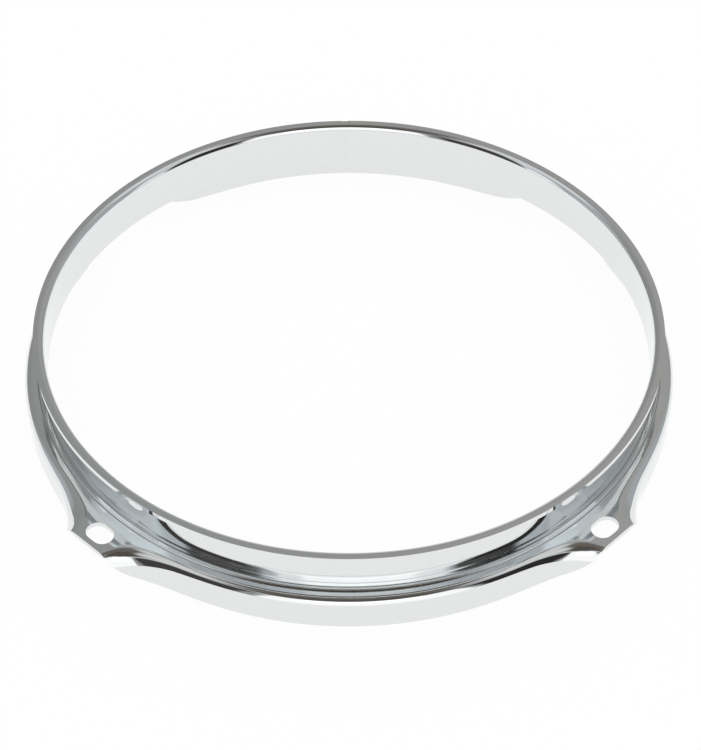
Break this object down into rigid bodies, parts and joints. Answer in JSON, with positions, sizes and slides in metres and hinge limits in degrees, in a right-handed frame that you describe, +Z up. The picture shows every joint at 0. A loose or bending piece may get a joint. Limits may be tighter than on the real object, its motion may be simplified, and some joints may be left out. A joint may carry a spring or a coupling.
{
  "type": "drum hoop",
  "caption": "Triple-flanged chromed steel drum hoop with pressed-out ears and obround tension-rod holes; it presses a drum head onto its shell.",
  "frame": {"origin": "on the hoop's axis, at the bottom edge of the skirt, the plane it stands on", "axes": "+Z up along the hoop's axis towards the lip; ears on the diagonals; -Y is the side nearest the camera; the seam is at +Y"},
  "size_m": [0.2276, 0.2276, 0.028],
  "materials": {
    "chromed_steel": "bright polished chrome plate on pressed steel",
    "chromed_weld": "butt weld ground flush and plated over, slightly duller"
  },
  "bodies": {
    "root": {"hoop_strip": "chromed_steel", "seam_weld": "chromed_weld"}
  },
  "joints": []
}
